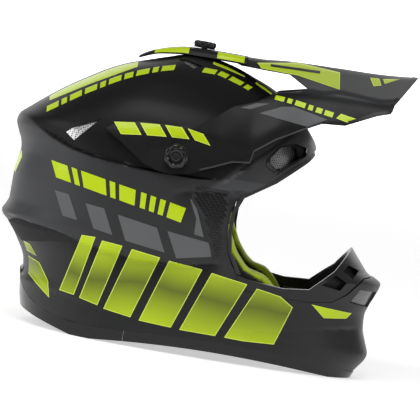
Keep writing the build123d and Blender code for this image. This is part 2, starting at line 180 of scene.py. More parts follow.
def grid_normals(points):
    """Unit normals of a closed ring grid, outwards."""
    along = np.roll(points, -1, 1) - np.roll(points, 1, 1)
    up = np.empty_like(points)
    up[1:-1] = points[2:] - points[:-2]
    up[0], up[-1] = points[1] - points[0], points[-1] - points[-2]
    normal = np.cross(along, up)
    length = np.linalg.norm(normal, axis=-1, keepdims=True)
    return normal / np.maximum(length, 1e-9)


def ring_faces(rows, around, first, flip):
    """Faces of a capped stack of rings whose vertices start at first."""
    faces = []
    for r in range(rows - 1):
        base = first + r * around
        for k in range(around):
            m = (k + 1) % around
            quad = (base + k, base + m, base + around + m, base + around + k)
            faces.append(quad[::-1] if flip else quad)
    bottom = tuple(range(first, first + around))
    top = tuple(range(first + (rows - 1) * around, first + rows * around))
    faces.append(bottom if flip else bottom[::-1])
    faces.append(top[::-1] if flip else top)
    return faces


def make(name, verts, faces):
    """A linked mesh object; vertices in metres."""
    mesh = bpy.data.meshes.new(name)
    mesh.from_pydata([tuple(v) for v in np.asarray(verts, float)], [], faces)
    mesh.update()
    obj = bpy.data.objects.new(name, mesh)
    scene.collection.objects.link(obj)
    return obj


BASE = shell_grid()
NORMALS = grid_normals(BASE)
SKIN = BASE - NORMALS * relief(BASE[..., 0], BASE[..., 1], BASE[..., 2])[..., None]
SKIN_NORMALS = grid_normals(SKIN)


def shell_solid(name, out, wall):
    """A closed hollow body between the skin moved out by out and the skin moved in by wall."""
    outer = (SKIN + SKIN_NORMALS * out).reshape(-1, 3)
    inner = (SKIN - SKIN_NORMALS * wall).reshape(-1, 3)
    inner[:AROUND, 2] = LEVELS[0] + 1.0
    faces = ring_faces(len(LEVELS), AROUND, 0, False) + ring_faces(len(LEVELS), AROUND, len(outer), True)
    return make(name, np.vstack([outer, inner]) * MM, faces)


def prism(name, outlines, y_from=-BEYOND, y_to=BEYOND, mirrored=False):
    """Closed bars with the given outlines, carried sideways; mirrored adds the other side's bars."""
    verts, faces = [], []
    spans = [(y_from, y_to)] + ([(-y_to, -y_from)] if mirrored else [])
    for outline in outlines:
        area = sum(a[0] * b[1] - b[0] * a[1] for a, b in zip(outline, (*outline[1:], outline[0])))
        ring = tuple(outline) if area > 0 else tuple(reversed(outline))
        n = len(ring)
        for low, high in spans:
            first = len(verts)
            verts += [(x, low, z) for x, z in ring] + [(x, high, z) for x, z in ring]
            faces.append(tuple(first + k for k in range(n)))
            faces.append(tuple(first + n + k for k in reversed(range(n))))
            for k in range(n):
                m = (k + 1) % n
                faces.append((first + k, first + n + k, first + n + m, first + m))
    return make(name, np.array(verts) * MM, faces)


def bake(obj):
    """Puts an object's modifiers into its mesh."""
    graph = bpy.context.evaluated_depsgraph_get()
    graph.update()
    mesh = bpy.data.meshes.new_from_object(obj.evaluated_get(graph))
    obj.modifiers.clear()
    obj.data = mesh


def combine(target, tool, operation):
    """Applies a boolean to target with tool, which is then removed."""
    cut = target.modifiers.new("cut", "BOOLEAN")
    cut.operation, cut.solver, cut.object = operation, "MANIFOLD", tool
    bake(target)
    bpy.data.objects.remove(tool)


def outward(obj):
    """Turns a closed mesh's faces outwards."""
    bm = bmesh.new()
    bm.from_mesh(obj.data)
    bmesh.ops.recalc_face_normals(bm, faces=bm.faces)
    bm.to_mesh(obj.data)
    bm.free()


def finish_mesh(obj, angle=32):
    """Smooth shading, with edges sharper than angle left sharp."""
    obj.data.shade_smooth()
    obj.data.set_sharp_from_angle(angle=math.radians(angle))
    return obj


# ---- materials -----------------------------------------------------------------------------------
GRAINS = {"noise": "ShaderNodeTexNoise", "cells": "ShaderNodeTexVoronoi", "weave": "ShaderNodeTexWave"}
GRAIN_DEPTH = 0.0004  # metres


def material(
    name, base, rough, bump=0.0, scale=400.0, coat=0.0, metal=0.0, spread=0.15, sheen=0.0, pattern="noise"
):
    """A moulded, woven or metal finish.

    A broad noise varies the colour by spread and the roughness a little, and a fine pattern is pressed in.
    """
    mat = bpy.data.materials.new(name)
    mat.use_nodes = True
    tree = mat.node_tree
    link = tree.links.new
    shader = tree.nodes["Principled BSDF"]
    shader.inputs["Metallic"].default_value = metal
    shader.inputs["Coat Weight"].default_value = coat
    shader.inputs["Coat Roughness"].default_value = 0.12
    shader.inputs["Sheen Weight"].default_value = sheen
    shader.inputs["Specular IOR Level"].default_value = 0.5 if metal else 0.2
    place = tree.nodes.new("ShaderNodeTexCoord").outputs["Object"]
    broad = tree.nodes.new("ShaderNodeTexNoise")
    broad.inputs["Scale"].default_value = 22.0
    broad.inputs["Detail"].default_value = 6.0
    link(place, broad.inputs["Vector"])
    shade = tree.nodes.new("ShaderNodeMapRange")
    shade.inputs["To Min"].default_value = max(rough - 0.07, 0.03)
    shade.inputs["To Max"].default_value = min(rough + 0.09, 1.0)
    link(broad.outputs["Fac"], shade.inputs["Value"])
    link(shade.outputs["Result"], shader.inputs["Roughness"])
    tint = tree.nodes.new("ShaderNodeMix")
    tint.data_type = "RGBA"
    tint.inputs["A"].default_value = (*[c * (1 - spread) for c in base], 1)
    tint.inputs["B"].default_value = (*[min(c * (1 + spread), 1) for c in base], 1)
    link(broad.outputs["Fac"], tint.inputs["Factor"])
    link(tint.outputs["Result"], shader.inputs["Base Color"])
    if bump:
        grain = tree.nodes.new(GRAINS[pattern])
        grain.inputs["Scale"].default_value = scale
        link(place, grain.inputs["Vector"])
        height = grain.outputs["Distance" if pattern == "cells" else "Fac"]
        press = tree.nodes.new("ShaderNodeBump")
        press.inputs["Strength"].default_value = bump
        press.inputs["Distance"].default_value = GRAIN_DEPTH
        link(height, press.inputs["Height"])
        link(press.outputs["Normal"], shader.inputs["Normal"])
    return mat


def by_tone(mat, dark, light):
    """Makes a material's colour run from dark to light with the mesh's own tone."""
    tree = mat.node_tree
    tone = tree.nodes.new("ShaderNodeAttribute")
    tone.attribute_name = "tone"
    mix = tree.nodes.new("ShaderNodeMix")
    mix.data_type = "RGBA"
    mix.inputs["A"].default_value = (*dark, 1)
    mix.inputs["B"].default_value = (*light, 1)
    tree.links.new(tone.outputs["Fac"], mix.inputs["Factor"])
    tree.links.new(mix.outputs["Result"], tree.nodes["Principled BSDF"].inputs["Base Color"])
    return mat


def toned(name, dark, light, rough):
    """Satin paint over a fine orange peel, dark or light by the mesh's tone."""
    return by_tone(material(name, light, rough, bump=0.05, scale=900.0, spread=0.04), dark, light)


def wire_mesh(name, silver):
    """Punched silver sheet: bright metal with dark round holes in rows."""
    mat = material(name, (silver, silver, silver), 0.32, metal=0.9, spread=0.05)
    tree = mat.node_tree
    holes = tree.nodes.new("ShaderNodeTexVoronoi")
    holes.inputs["Scale"].default_value = 520.0
    holes.inputs["Randomness"].default_value = 0.0
    tree.links.new(tree.nodes.new("ShaderNodeTexCoord").outputs["Object"], holes.inputs["Vector"])
    ramp = tree.nodes.new("ShaderNodeValToRGB")
    ramp.color_ramp.elements[0].position = 0.30
    ramp.color_ramp.elements[0].color = (0.02, 0.02, 0.02, 1)
    ramp.color_ramp.elements[1].position = 0.40
    ramp.color_ramp.elements[1].color = (silver, silver, silver, 1)
    tree.links.new(holes.outputs["Distance"], ramp.inputs["Fac"])
    tree.links.new(ramp.outputs["Color"], tree.nodes["Principled BSDF"].inputs["Base Color"])
    return mat


def faded(name, bright, deep, low, middle, high):
    """Ink that is bright above high and below low, and deep between them, by height in millimetres."""
    mat = material(name, bright, 0.34, bump=0.03, scale=1200.0, coat=0.25, spread=0.03)
    tree = mat.node_tree
    place = tree.nodes.new("ShaderNodeTexCoord").outputs["Object"]
    split = tree.nodes.new("ShaderNodeSeparateXYZ")
    tree.links.new(place, split.inputs["Vector"])
    wander = tree.nodes.new("ShaderNodeTexNoise")
    wander.inputs["Scale"].default_value = 9.0
    tree.links.new(place, wander.inputs["Vector"])
    sway = tree.nodes.new("ShaderNodeMath")
    sway.operation = "MULTIPLY_ADD"
    sway.inputs[1].default_value = 0.03
    tree.links.new(wander.outputs["Fac"], sway.inputs[0])
    tree.links.new(split.outputs["Z"], sway.inputs[2])
    span = tree.nodes.new("ShaderNodeMapRange")
    span.inputs["From Min"].default_value = low * MM
    span.inputs["From Max"].default_value = high * MM
    tree.links.new(sway.outputs["Value"], span.inputs["Value"])
    ramp = tree.nodes.new("ShaderNodeValToRGB")
    ramp.color_ramp.elements[0].color = (*bright, 1)
    ramp.color_ramp.elements[1].color = (*bright, 1)
    ramp.color_ramp.elements[1].position = 1.0
    deepest = ramp.color_ramp.elements.new((middle - low) / (high - low))
    deepest.color = (*deep, 1)
    tree.links.new(span.outputs["Result"], ramp.inputs["Fac"])
    tree.links.new(ramp.outputs["Color"], tree.nodes["Principled BSDF"].inputs["Base Color"])
    return mat


LIME, LIME_DEEP, LIME_EDGE = (0.51, 0.67, 0.004), (0.12, 0.155, 0.003), (0.70, 0.84, 0.10)
CLOTH_BLACK = (0.016, 0.016, 0.017)

paint = toned("satin_paint", (0.004, 0.004, 0.0045), (0.06, 0.061, 0.064), 0.40)
peak_paint = toned("peak_paint", (0.0045, 0.0045, 0.005), (0.03, 0.031, 0.033), 0.38)
lime_big = faded("lime_faded", LIME, LIME_DEEP, 37, 74, 108)
lime_flat = material("lime_ink", LIME, 0.34, bump=0.03, scale=1200.0, coat=0.25, spread=0.08)
lime_emblem = faded("lime_emblem", LIME, LIME_DEEP, 183, 192, 206)
lime_edge = material("lime_outline", LIME_EDGE, 0.4, spread=0.04)
grey_ink = material("grey_ink", (0.115, 0.117, 0.12), 0.45, bump=0.04, scale=1000.0, spread=0.05)
piping_ink = material("piping_ink", (0.05, 0.051, 0.053), 0.45, bump=0.04, scale=1000.0, spread=0.05)
black_ink = material("black_ink", (0.012, 0.012, 0.013), 0.35, spread=0.1)
gloss_black = material("gloss_rubber", (0.008, 0.008, 0.009), 0.24, bump=0.12, scale=260.0, coat=0.3)
satin_black = material("satin_plastic", (0.016, 0.016, 0.017), 0.36, bump=0.12, scale=700.0, coat=0.1)
soft_black = material("matt_rubber", (0.03, 0.03, 0.032), 0.62, bump=0.4, scale=420.0, pattern="cells")
screw_black = material("screw_plastic", (0.006, 0.006, 0.007), 0.14, bump=0.08, scale=300.0, coat=0.45)
foam = material("foam_beads", (0.022, 0.022, 0.024), 0.75, bump=0.5, scale=260.0, pattern="cells")
steel = material("brushed_metal", (0.55, 0.56, 0.57), 0.28, bump=0.1, scale=900.0, metal=1.0)
webbing = material("webbing", (0.014, 0.014, 0.015), 0.8, bump=0.8, scale=380.0, sheen=0.3, pattern="weave")
fabric = material("brushed_fabric", CLOTH_BLACK, 0.9, bump=0.6, scale=900.0, sheen=0.4, pattern="cells")
# the second sheet is the same punched metal darkened, as painted shade inside the chin vent
punched, shade_painted = wire_mesh("punched_sheet", 0.72), wire_mesh("shade_painted_sheet", 0.16)


def dress(obj, mat):
    """Gives a mesh one material."""
    obj.data.materials.clear()
    obj.data.materials.append(mat)
    return obj


def set_tone(obj, values):
    """Stores each vertex's tone, from 0 for dark to 1 for light."""
    layer = obj.data.attributes.new("tone", "FLOAT", "POINT")
    layer.data.foreach_set("value", np.clip(values, 0, 1).astype(np.float32))


def coordinates(obj):
    """A mesh's vertices in millimetres."""
    flat = np.empty(len(obj.data.vertices) * 3)
    obj.data.vertices.foreach_get("co", flat)
    return flat.reshape(-1, 3) / MM


# ---- outer shell ---------------------------------------------------------------------------------
EYEPORT = (
    (101, 208), (92, 197), (66, 174), (44, 158.5), (36, 151), (33, 142), (32.4, 132), (33, 122), (36, 104),
    (41, 93), (47, 84), (51, 71), (87, 68), (118, 68), (140, 71), (153, 80), (166, 96), (230, 106),
    (230, 211),
)  # fmt: skip
RIM = (
    (-220, 49.4), (-156, 49.4), (-154.5, 41.4), (-151, 34.4), (-143, 27), (-128, 19.2), (-110, 14.4),
    (-84, 12.3), (-54, 13.4), (-24, 15.4), (12, 17), (45, 17.4), (85, 16.6), (115, 14.9), (141, 11.4),
    (172, 5), (220, 3.4), (220, -60), (-220, -60),
)  # fmt: skip
BROW_DUCT = ((56, 193), (66, 207), (80, 211), (92, 208), (92, 201), (84, 194), (68, 180), (57, 186))
CROWN_SIDE_VENT = ((-131, 185), (-126, 190), (-101, 203), (-122, 179))
CROWN_TOP_VENT = ((-42, 269), (-34, 270), (-18, 266.5), (-26, 263))
CHIN_VENT = ((164, 86), (192, 84), (190, 66), (156, 73))

VENTS = (  # name, outline, how far from the middle the opening starts
    ("brow", BROW_DUCT, 30),
    ("side", CROWN_SIDE_VENT, 40),
    ("top", CROWN_TOP_VENT, 24),
    ("chin", CHIN_VENT, 9),
)

shell = shell_solid("shell_skin", 0.0, SHELL_WALL)
combine(shell, prism("rim_cut", [RIM]), "DIFFERENCE")
combine(shell, prism("eyeport_cut", [EYEPORT]), "DIFFERENCE")
for name, outline, y_from in VENTS:
    combine(shell, prism(name + "_cut", [outline], y_from, BEYOND, mirrored=True), "DIFFERENCE")


def shell_tone(x, y, z):
    """Black crown above the scallop, and charcoal sides that are lighter towards the rear; painted shade
    darkens the sides just below the body and temple creases.
    """
    edge = through(SCALLOP_LOW, x)
    tone = (0.42 + 0.5 * (1 - ease(x, -170, -60))) * (1 - ease(z, edge - 1, edge + 1))
    tone -= 0.2 * (1 - ease(z, 60, 96))
    tone += 0.12 * ease(x, 60, 150) * (1 - ease(z, 60, 110))
    tone += 0.55 * ease(x * 0.7 - z * 0.7, -106, -102) * ease(z, 150, 156)
    # painted shade: the sides are darkened just below the body and temple creases, where the recessed skin
    # falls into shade
    crease_shade = crease(x, z, BODY_CREASE, 0.5, 18) + crease(x, z, TEMPLE_CREASE, 0.3, 10)
    return tone - crease_shade * ease(np.abs(y), 20, 45)


set_tone(shell, shell_tone(*coordinates(shell).T))
dress(finish_mesh(shell), paint)
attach(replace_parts(shell, "outer_shell"), "helmet")


# ---- graphics ------------------------------------------------------------------------------------
def inset_outline(outline, by):
    """An outline whose edges are moved in by a distance, in millimetres."""
    pts = [Vector(q) for q in outline]
    area = sum(a.x * b.y - b.x * a.y for a, b in zip(pts, pts[1:] + pts[:1]))
    turn = 1 if area > 0 else -1
    out = []
    for k, here in enumerate(pts):
        before, after = (here - pts[k - 1]).normalized(), (pts[(k + 1) % len(pts)] - here).normalized()
        n1, n2 = Vector((-before.y, before.x)) * turn, Vector((-after.y, after.x)) * turn
        bisector = n1 + n2
        scale = by / max(0.35, 1 + n1.dot(n2)) if bisector.length > 1e-6 else by
        out.append(tuple(here + bisector * scale))
    return tuple(out)


# plain slanted bars, blocks and dashes, seen from the side
SLASHES = (
    ((-99, 95), (-86, 95.6), (-97.5, 38), (-112, 39.6)),
    ((-79.5, 93.6), (-60, 92.2), (-74, 33), (-92, 36.6)),
    ((-51, 90.8), (-24, 87.6), (-42, 27.5), (-68, 31)),
    ((-15.5, 86.2), (16, 83), (-3.5, 24.6), (-34, 26)),
    ((25, 81.5), (59, 76.5), (38, 23.8), (4.5, 24)),
    ((68.5, 74), (91.2, 70), (104.3, 61.5), (93, 24.4), (64, 23.2), (46.5, 23.8)),
)
BAND = (
    ((-140.1, 157.1), (-123.8, 155), (-117.3, 140.3), (-132.4, 142.4)),
    ((-119.7, 154.5), (-114.3, 153.7), (-108.5, 139), (-113.5, 139.7)),
    ((-110.2, 153.2), (-86.1, 149.6), (-82.5, 135), (-104.8, 138.5)),
    ((-82.1, 149), (-76.7, 148.2), (-73.8, 133.6), (-78.8, 134.4)),
    ((-72.7, 147.5), (-56.8, 145), (-55.4, 130.6), (-70.1, 133.1)),
    ((-51.5, 144.1), (-46.2, 143.3), (-45.6, 129), (-50.5, 129.8)),
    ((-42.3, 142.6), (-37, 141.7), (-37, 127.5), (-41.9, 128.4)),
    ((-33, 141.1), (-27.7, 140.2), (-28.5, 126.1), (-33.4, 126.9)),
    ((-23.8, 139.5), (-8.6, 136.6), (-11, 122.7), (-24.8, 125.4)),
)
BLOCKS = (
    ((-131.6, 130.7), (-117.6, 129.5), (-105.6, 107.7), (-119.9, 108.9)),
    ((-100.6, 124.5), (-82.5, 123.1), (-70.9, 100.3), (-89.2, 103)),
    ((-69.3, 119.9), (-31.7, 114.3), (-20.9, 92.9), (-58.2, 97.4)),
    ((-21.6, 112.9), (18, 108.7), (22, 96.4), (-9.3, 89.5)),
    ((-6.3, 145.4), (-2, 144), (3.5, 133), (12, 113), (3.1, 114.2), (2.3, 128.9)),
)
REAR_MARKS = (
    ((-166.9, 77.9), (-148.3, 74.7), (-139.7, 65.4), (-159.7, 69.6)),
    ((-157, 65.2), (-136, 60), (-124, 45), (-120.5, 30), (-150.2, 50)),
    ((-179.4, 141.3), (-172.9, 159.3), (-170.6, 153.1), (-175.3, 137.2)),
)
STRIPS = (
    ((-163, 226), (-122, 254), (-82, 274), (-78.1, 255.4), (-114.5, 234.6), (-153.9, 210)),
    ((-12.7, 286), (0, 286), (24, 280), (22, 263.2), (6, 267), (-9, 270)),
    ((31, 276), (40, 274), (60, 262), (49.2, 251.4), (33.2, 259)),
)
DASHES = (
    ((-154.9, 204.4), (-144.8, 211.7), (-143.5, 206.6), (-153.7, 199.4)),
    ((-142.3, 213.4), (-137.6, 216.7), (-136.3, 211.7), (-141, 208.4)),
    ((-135.1, 218.5), (-124.9, 225.5), (-123.7, 220.4), (-133.9, 213.4)),
    ((-122.1, 227.1), (-111.6, 233.5), (-110.7, 228.5), (-121.2, 222)),
    ((-109, 235.1), (-104.2, 238.1), (-103.3, 233), (-108.1, 230.1)),
    ((-101.5, 239.7), (-90.9, 245.8), (-90.1, 240.7), (-100.8, 234.6)),
    ((-87.9, 247.1), (-80.2, 250.8), (-79.9, 245.6), (-87.6, 242)),
    ((-77.2, 252.1), (-65.9, 256.5), (-65.9, 251.5), (-77.4, 246.9)),
    ((-63, 257.5), (-57.7, 259.4), (-57.9, 254.4), (-63.1, 252.5)),
    ((-54.7, 260.4), (-43, 263.6), (-43.6, 258.6), (-55.3, 255.4)),
    ((-15.9, 265.6), (-3.8, 265.5), (-5.8, 261), (-18, 261.1)),
    ((-0.2, 265.1), (8.1, 263), (4.9, 259.2), (-3.4, 261.3)),
    ((11.1, 262.1), (22.9, 258.4), (19.5, 254.9), (7.7, 258.5)),
    ((25.9, 257.3), (31.2, 255.3), (27.7, 252), (22.3, 253.9)),
)
CHIN_MARK = (((121, 66.8), (160, 62.7), (155.7, 57.2), (134.6, 55.5)),)


def decals(name, solid, body, outlines, mat, y_from, height, rim=0.0):
    """Thin raised patches where sideways outlines meet a skin, on both sides."""
    shapes = [inset_outline(o, rim) for o in outlines] if rim else outlines
    patch = solid(name, height, DECAL_DEPTH)
    combine(patch, prism(name + "_tool", shapes, y_from, BEYOND, mirrored=True), "INTERSECT")
    dress(finish_mesh(patch, 40), mat)
    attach(patch, body)
    return patch


def outlined(name, solid, body, outlines, mat, y_from, rim=0.75):
    """Decals with a thin pale edge left showing round them."""
    decals(name + "_edge", solid, body, outlines, lime_edge, y_from, 0.14)
    decals(name, solid, body, outlines, mat, y_from, 0.24, rim)


outlined("side_slashes", shell_solid, "helmet", SLASHES + REAR_MARKS[:2], lime_big, 45)
decals("band_blocks", shell_solid, "helmet", BAND + REAR_MARKS[2:], lime_flat, 20, 0.2)
decals("grey_blocks", shell_solid, "helmet", BLOCKS, grey_ink, 45, 0.2)
outlined("crown_strips", shell_solid, "helmet", STRIPS, lime_flat, 26, 0.5)
decals("crown_dashes", shell_solid, "helmet", DASHES, lime_flat, 20, 0.2)
outlined("chin_mark", shell_solid, "helmet", CHIN_MARK, lime_flat, 30, 0.5)

# ---- peak ----------------------------------------------------------------------------------------
PEAK_LOW = (
    (-94, 196), (-86, 190.5), (-78, 186), (-66, 178), (-53, 170), (-42, 166.3), (-28, 165), (-12, 168),
    (8, 177), (26, 185), (42, 187), (44, 198), (62, 212), (86, 226), (101, 234), (122, 236), (150, 250),
    (162, 254), (164, 262),
)  # fmt: skip
PEAK_TIP = ((184, 291.5), (186, 302), (60, 302))
PEAK_HIGH = (
    (63, 273), (84, 262), (56, 255), (39, 244), (17, 235), (3, 223), (-12, 213), (-35, 209), (-60, 208),
    (-83, 204),
)  # fmt: skip
PEAK_SECTIONS = (  # position along the peak, then (y, z) corners from the middle down to the side
    (-104, ((0, 246), (14, 245), (88, 222), (108, 196), (117, 150))),
    (-65, ((0, 272), (14, 271), (85, 240), (112, 200), (122, 150))),
    (-25, ((0, 282), (14, 281), (88, 245), (113, 210), (126, 150))),
    (10, ((0, 282.5), (14, 281.5), (85, 244), (108.5, 208), (121, 150))),
    (35, ((0, 283), (14, 282), (84, 246), (103, 208), (114, 160))),
    (62, ((0, 286), (12, 283.0), (80, 255), (97, 224), (106, 182))),
    (90, ((0, 287), (13, 283.0), (77, 260.5), (91, 232), (99, 204))),
    (115, ((0, 287.5), (13, 284), (79, 261), (91, 240), (96, 220))),
    (140, ((0, 288), (13, 284.5), (82, 261.5), (89, 247), (93, 234))),
    (165, ((0, 289.5), (12, 287), (82, 264), (88, 255), (90, 244))),
    (188, ((0, 292), (12, 290.5), (79, 268), (84, 259), (86, 250))),
)
PEAK_STEPS = 46
PEAK_X = np.linspace(-104, 188, 150)


def peak_grid():
    """Points of the peak's outer face, from the right foot over to the left, one row per position."""
    rows = []
    for x in PEAK_X:
        corners = np.array(
            [[smooth([(a, s[k][j]) for a, s in PEAK_SECTIONS], x) for j in (0, 1)] for k in range(5)]
        )
        length = np.r_[0, np.cumsum(np.hypot(*np.diff(corners, axis=0).T))]
        at = np.linspace(0, length[-1], PEAK_STEPS)
        y, z = np.interp(at, length, corners[:, 0]), np.interp(at, length, corners[:, 1])
        y, z = np.r_[-y[:0:-1], y], np.r_[z[:0:-1], z]
        for _ in range(3):
            y[1:-1] = (y[:-2] + 2 * y[1:-1] + y[2:]) / 4
            z[1:-1] = (z[:-2] + 2 * z[1:-1] + z[2:]) / 4
        rows.append(np.stack([np.full_like(y, x), y, z], -1))
    return np.array(rows)


def sheet_normals(points):
    """Unit normals of an open sheet of points, away from the head."""
    normal = np.cross(np.gradient(points, axis=0), np.gradient(points, axis=1))
    return normal / np.linalg.norm(normal, axis=-1, keepdims=True)


WING_CREASE = (
    (-60, 186), (-30, 197), (-9, 206), (14, 200), (32, 193), (48, 203), (72, 221), (96, 231), (120, 235),
)  # fmt: skip
DECK_CREASE = ((60, 262), (96, 262), (112, 266), (150, 264), (180, 270))


def peak_relief(x, y, z):
    """The peak's moulded relief, inwards, in millimetres."""
    wing = crease(x, z, WING_CREASE, 1.7, 14) * ease(np.abs(y), 50, 70)
    return wing + crease(x, z, DECK_CREASE, 1.6, 9) * ease(np.abs(y), 50, 62)


SMOOTH_PEAK = peak_grid()
pressed = peak_relief(SMOOTH_PEAK[..., 0], SMOOTH_PEAK[..., 1], SMOOTH_PEAK[..., 2])
PEAK = SMOOTH_PEAK - sheet_normals(SMOOTH_PEAK) * pressed[..., None]
PEAK_OUT = sheet_normals(PEAK)


def sheet_faces(rows, cols, flip=False):
    """Faces of a closed sheet whose two sides are grids of vertices, one after the other."""
    n = rows * cols
    faces = []
    for r in range(rows - 1):
        for c in range(cols - 1):
            a = r * cols + c
            faces.append((a, a + 1, a + cols + 1, a + cols))
            faces.append((n + a, n + a + cols, n + a + cols + 1, n + a + 1))
    rim = list(range(cols))
    rim += [r * cols + cols - 1 for r in range(1, rows)]
    rim += [(rows - 1) * cols + c for c in range(cols - 2, -1, -1)]
    rim += [r * cols for r in range(rows - 2, 0, -1)]
    for a, b in zip(rim, rim[1:] + rim[:1]):
        faces.append((b, a, n + a, n + b))
    return [(q[0], *q[:0:-1]) if flip else q for q in faces]


def peak_solid(name, out, wall):
    """A closed sheet between the peak's face moved out by out and the face moved in by wall."""
    outer = (PEAK + PEAK_OUT * out).reshape(-1, 3)
    inner = (PEAK - PEAK_OUT * wall).reshape(-1, 3)
    return make(name, np.vstack([outer, inner]) * MM, sheet_faces(*PEAK.shape[:2]))


# height of the fold between the peak's side and its deck, by position
FOLD = ((50, 263), (90, 259), (140, 260), (165, 263), (188, 268))


def peak_tone(x, z):
    """Lighter above the fold, and a little lighter just below it near the tip."""
    above = z - through(FOLD, x)
    return 0.12 + 0.85 * ease(above, -3.5, 2.5) + 0.25 * ease(above, -9, -7) * (x > 95)


peak = peak_solid("peak_skin", 0.0, PEAK_WALL)
combine(peak, prism("peak_outline", [(*PEAK_LOW, *PEAK_TIP, *PEAK_HIGH)]), "INTERSECT")
p = coordinates(peak)
set_tone(peak, peak_tone(p[:, 0], p[:, 2]))
dress(finish_mesh(peak, 30), peak_paint)
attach(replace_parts(peak, "peak"), "peak")

PLAIN_TONE = 0.2
STRUT = ((66, 272.8), (66, 300), (8, 300), (8, 276), (17, 273.2), (40, 272.8))
strut = peak_solid("peak_strut", -0.06, STRUT_WALL)
combine(strut, prism("strut_outline", [STRUT]), "INTERSECT")
set_tone(strut, np.full(len(strut.data.vertices), PLAIN_TONE))
dress(finish_mesh(strut, 30), peak_paint)
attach(strut, "peak")

TAIL_PATH = (  # position along the tail, height of its middle, half width
    (-80, 266.2, 8), (-76, 269, 13), (-70, 272.4, 17), (-62, 275.6, 20), (-50, 279.3, 22.5),
    (-38, 281.7, 23.5), (-25, 282.6, 24), (-10, 282.9, 24), (5, 283, 25.5), (14, 283, 28), (22, 282.8, 30),
)  # fmt: skip
TAIL_SHARES = (0, 0.25, 0.5, 0.75, 1)  # from the middle to the edge, for the three rows below
TAIL_ACROSS = (0, 0.55, 0.78, 0.9, 1.0)
TAIL_DROP = (0, -0.2, -1.3, -3.6, -7.5)
TAIL_SLANT = (0, 0.15, 0.5, 0.8, 0.9)
# share of the drop that is kept, by position: the tail is flatter towards its rear end
TAIL_FLATTER = ((-80, 0.6), (-62, 0.6), (-45, 0.85), (-25, 1))


def tail_point(x, share, lift):
    """A point on the tail: share runs from -1 at the right edge to 1 at the left edge."""
    path = np.array(TAIL_PATH, float)
    z, half = smooth(path[:, [0, 1]], x), smooth(path[:, [0, 2]], x)
    across = abs(share)
    y = np.interp(across, TAIL_SHARES, TAIL_ACROSS)
    drop = np.interp(across, TAIL_SHARES, TAIL_DROP) * min(1, half / 22)
    drop *= through(TAIL_FLATTER, x)
    slant = np.interp(across, TAIL_SHARES, TAIL_SLANT)
    lean = -0.9 * (x - PIVOT_X) / 100 if x < -25 else 0
    side = math.copysign(1, share)
    return (
        x + lift * lean * (1 - slant),
        side * (half * y + lift * slant),
        z + drop + lift * (1 - slant * 0.6),
    )


def tail_patch(name, x_range, shares, lift, wall, mat):
    """A closed curved plate on the tail, between two positions along it and two shares across it."""
    xs, across = np.linspace(*x_range, 60), np.linspace(*shares, 33)
    outer = [tail_point(x, t, lift) for x in xs for t in across]
    inner = [tail_point(x, t, lift - wall) for x in xs for t in across]
    obj = make(name, np.array(outer + inner) * MM, sheet_faces(len(xs), len(across), flip=True))
    outward(obj)
    set_tone(obj, np.full(len(obj.data.vertices), PLAIN_TONE))
    dress(finish_mesh(obj, 35), mat)
    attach(obj, "peak")


tail_patch("peak_tail", (-80, 22), (-1, 1), 0.0, TAIL_WALL, peak_paint)
for side, shares in zip(SIDES, ((-0.96, -0.42), (0.42, 0.96))):
    tail_patch("tail_mark_rear_" + side, (-66, -34), shares, 0.25, MARK_WALL, lime_flat)
    tail_patch("tail_mark_front_" + side, (-7, 19), shares, 0.25, MARK_WALL, lime_flat)

PEAK_LIME = (
    ((116.5, 246.3), (133.3, 243.9), (125.4, 239.1), (112.7, 241.5)),
    ((31, 278.6), (60.6, 283.6), (67, 285.4), (109.5, 283.2), (111.6, 267.6), (71, 273.6), (36, 274)),
    ((138.2, 283.2), (146.8, 284), (149.7, 277.9), (142.4, 276.1)),
    ((150.3, 284.2), (166.4, 286.7), (152.6, 280)),
)
WING_EDGE = ((-2, 173), (8, 177), (26, 185), (42, 187), (44, 198), (62, 212), (86, 226), (101, 234))
PEAK_PIPING = ((*WING_EDGE, *[(x - 0.9, z + 1.3) for x, z in reversed(WING_EDGE)]),)
PEAK_LIP = (
    (
        (163, 256), (164, 262), (183.6, 291), (178.5, 291), (173, 284.5), (171.5, 281), (160.6, 264),
        (160, 257),
    ),
    ((124, 237.6), (150, 250.6), (159, 253.6), (158.4, 256.6), (148.5, 253.4), (124, 240.6)),
)  # fmt: skip
PEAK_STRIPE = (((44, 277.3), (44, 279.6), (91, 281.4), (91, 278.8)),)
PEAK_EMBLEM = (
    ((-88, 203), (-69, 205.6), (-60.5, 195.6), (-79.5, 193)),
    ((-64, 206.2), (-46, 208), (-37.5, 198), (-55.5, 196.2)),
    ((-41, 208.4), (-25, 209), (-16.5, 199.4), (-32.5, 198.4)),
    ((-20, 209), (-5, 206.4), (3.5, 196.8), (-11.5, 199.4)),
)
PEAK_GREY = (
    ((24, 235.5), (38, 242.3), (50, 243.9), (33.6, 236)),
    ((42.3, 233.8), (62.1, 243.3), (72.6, 245.1), (105, 238.8), (87.9, 229.1)),
)
PEAK_DASHES = (
    ((54.3, 252.6), (63.2, 252.2), (62.2, 247.8), (53.5, 248.5)),
    ((66, 252), (70.7, 251.5), (69.7, 247.1), (65.1, 247.6)),
    ((73.5, 251.4), (83.3, 250), (82.4, 245.3), (72.6, 246.7)),
    ((86.2, 249.5), (90.8, 248.9), (89.8, 244.2), (85.2, 244.8)),
    ((93.7, 248.5), (99.5, 247.7), (98.5, 242.9), (92.7, 243.7)),
    ((101.8, 247.3), (110, 246.2), (109, 241.5), (100.9, 242.6)),
)
outlined("peak_marks", peak_solid, "peak", PEAK_LIME, lime_flat, 5)
outlined("peak_emblem", peak_solid, "peak", PEAK_EMBLEM, lime_emblem, 60)
decals("peak_stripe", peak_solid, "peak", PEAK_STRIPE, black_ink, 10, 0.36)
decals("peak_piping", peak_solid, "peak", PEAK_PIPING, piping_ink, 50, 0.5)
decals("peak_lip", peak_solid, "peak", PEAK_LIP, satin_black, 0.5, 1.0)
